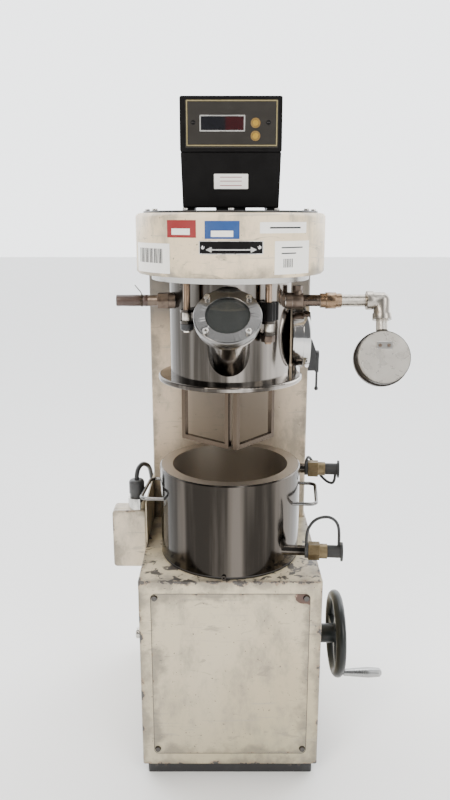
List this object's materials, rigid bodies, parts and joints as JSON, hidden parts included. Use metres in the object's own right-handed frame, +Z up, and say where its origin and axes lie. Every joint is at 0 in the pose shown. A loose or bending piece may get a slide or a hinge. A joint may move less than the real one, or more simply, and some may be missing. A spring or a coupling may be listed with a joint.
{
  "type": "bench planetary mixer",
  "caption": "Bench planetary mixer: vacuum hood with frame stirrers over a jacketed can, head on a column raised by a handwheel, speed display on top.",
  "frame": {"origin": "on the bench surface, straight below the mixing axis of the head", "axes": "+Z up, -Y towards the operator, +X to the operator's right, the handwheel's side"},
  "size_m": [0.396, 0.393, 0.8923],
  "materials": {
    "cream_paint": "satin cream enamel",
    "black_paint": "satin black",
    "polished_steel": "polished stainless",
    "plain_steel": "machined steel",
    "gear_steel": "oiled gear steel",
    "chrome": "bright chrome",
    "motor_paint": "satin dark grey",
    "pulley_alloy": "turned",
    "wheel_paint": "worn dark green-grey enamel",
    "brass": "dull brass",
    "bronze": "dark bronze union on bright pipe",
    "pale_casting": "pale casting",
    "grip_nylon": "grey moulding",
    "black_plastic": "fine texture",
    "black_steel": "black oxide",
    "gold_button": "gold yellow",
    "hose_rubber": "brown black",
    "black_rubber": "matte",
    "clear_glass": "clear",
    "needle_black": "black"
  },
  "bodies": {
    "base": {"base_housing": "cream_paint", "front_cover": "cream_paint", "base_screws": "plain_steel", "plinth": "black_paint", "guide_rods": "plain_steel", "shaft_bearings": "plain_steel", "junction_box": "cream_paint", "cord_grip": "grip_nylon", "supply_cable": "black_rubber"},
    "handwheel": {"handwheel": "wheel_paint", "wheel_shaft": "plain_steel"},
    "grip": {"crank_grip": "chrome"},
    "lift": {"lift_shaft": "plain_steel", "lift_gear": "gear_steel"},
    "head": {"lift_carriage": "plain_steel", "column_shroud": "cream_paint", "head_housing": "cream_paint", "head_cover": "black_paint", "head_screws": "plain_steel", "sun_hub": "plain_steel", "drive_motor": "motor_paint", "drive_belt": "black_rubber", "hood": "polished_steel", "sight_ring": "polished_steel", "sight_glass": "clear_glass", "hanger_studs": "plain_steel", "vacuum_hose": "hose_rubber", "hose_fitting": "brass", "vacuum_tee": "brass", "gauge_pipe": "bronze", "gauge_elbow": "pale_casting", "pipe_gauge": "pale_casting", "pipe_gauge_lens": "clear_glass", "side_gauge": "chrome", "side_gauge_lens": "clear_glass", "tach_base": "black_plastic", "tach_case": "black_plastic", "lever_bracket": "black_paint"},
    "carrier": {"planet_carrier": "polished_steel", "carrier_lid": "polished_steel", "drive_shaft": "polished_steel", "driven_pulley": "pulley_alloy"},
    "left_stirrer": {"stirrer_left": "polished_steel", "planet_left": "gear_steel"},
    "right_stirrer": {"stirrer_right": "polished_steel", "planet_right": "gear_steel"},
    "motor_rotor": {"motor_pulley": "pulley_alloy"},
    "hanger_nut": {"hanger_nut": "black_steel"},
    "star_knob": {"star_knob": "black_plastic"},
    "clamp_lever": {"clamp_lever": "black_paint"},
    "pipe_needle": {"pipe_gauge_needle": "needle_black"},
    "side_needle": {"side_gauge_needle": "needle_black"},
    "button_up": {"button_up": "gold_button"},
    "button_down": {"button_down": "gold_button"},
    "can": {"can_shell": "polished_steel", "can_handles": "polished_steel", "can_couplers": "brass", "plug_straps": "black_rubber"},
    "lower_plug": {"lower_plug": "black_rubber"},
    "upper_plug": {"upper_plug": "black_rubber"}
  },
  "joints": [
    {"name": "head_lift", "type": "slide", "parent": "base", "child": "head", "axis": [0, 0, 1], "range_m": [-0.12, 0]},
    {"name": "wheel_turn", "type": "hinge", "parent": "base", "child": "handwheel", "pos_m": [0.16, 0.022, 0.147], "axis": [1, 0, 0], "range_deg": [-5, 1380]},
    {"name": "grip_turn", "type": "hinge", "parent": "handwheel", "child": "grip", "pos_m": [0.1965, -0.01012, 0.10113], "axis": [1, 0, 0], "continuous": true},
    {"name": "lift_turn", "type": "hinge", "parent": "base", "child": "lift", "pos_m": [0.028, 0.07, 0.147], "axis": [1, 0, 0], "range_deg": [-460, 5]},
    {"name": "carrier_spin", "type": "hinge", "parent": "head", "child": "carrier", "pos_m": [0, 0, 0.685], "axis": [0, 0, 1], "continuous": true},
    {"name": "left_stirrer_spin", "type": "hinge", "parent": "carrier", "child": "left_stirrer", "pos_m": [-0.033, 0, 0.6], "axis": [0, 0, 1], "continuous": true},
    {"name": "right_stirrer_spin", "type": "hinge", "parent": "carrier", "child": "right_stirrer", "pos_m": [0.033, 0, 0.6], "axis": [0, 0, 1], "continuous": true},
    {"name": "motor_spin", "type": "hinge", "parent": "head", "child": "motor_rotor", "pos_m": [0, 0.1748, 0.7], "axis": [0, 0, 1], "continuous": true},
    {"name": "hanger_nut_turn", "type": "hinge", "parent": "head", "child": "hanger_nut", "pos_m": [-0.053, -0.082, 0.625], "axis": [0, 0, 1], "range_deg": [-720, 0]},
    {"name": "star_knob_turn", "type": "hinge", "parent": "head", "child": "star_knob", "pos_m": [0.0455, -0.082, 0.643], "axis": [0, 0, 1], "range_deg": [0, 720]},
    {"name": "clamp_lever_turn", "type": "hinge", "parent": "head", "child": "clamp_lever", "pos_m": [0.13, 0.126, 0.554], "axis": [1, 0, 0], "range_deg": [-60, 60]},
    {"name": "pipe_needle_turn", "type": "hinge", "parent": "head", "child": "pipe_needle", "pos_m": [0.1925, -0.05287, 0.58262], "axis": [0, 0.9511, -0.309], "range_deg": [-270, 0]},
    {"name": "side_needle_turn", "type": "hinge", "parent": "head", "child": "side_needle", "pos_m": [0.096, 0, 0.604], "axis": [1, 0, 0], "range_deg": [-270, 0]},
    {"name": "button_up_press", "type": "slide", "parent": "head", "child": "button_up", "axis": [0, 1, 0], "range_m": [0, 0.001], "stiffness_N_per_m": 400},
    {"name": "button_down_press", "type": "slide", "parent": "head", "child": "button_down", "axis": [0, 1, 0], "range_m": [0, 0.001], "stiffness_N_per_m": 400},
    {"name": "can_out", "type": "slide", "parent": "base", "child": "can", "axis": [0, -1, 0], "range_m": [0, 0.25]},
    {"name": "lower_plug_out", "type": "slide", "parent": "can", "child": "lower_plug", "axis": [0.9962, -0.0872, 0], "range_m": [0, 0.018]},
    {"name": "upper_plug_out", "type": "slide", "parent": "can", "child": "upper_plug", "axis": [0.9962, -0.0872, 0], "range_m": [0, 0.018]}
  ],
  "couplings": [
    {"joint": "lift_turn", "follows": "head_lift", "rad_per_m": 66.667},
    {"joint": "wheel_turn", "follows": "head_lift", "rad_per_m": -200},
    {"joint": "left_stirrer_spin", "follows": "carrier_spin", "ratio": 1.75},
    {"joint": "right_stirrer_spin", "follows": "carrier_spin", "ratio": 1.75},
    {"joint": "motor_spin", "follows": "carrier_spin", "ratio": 5}
  ]
}
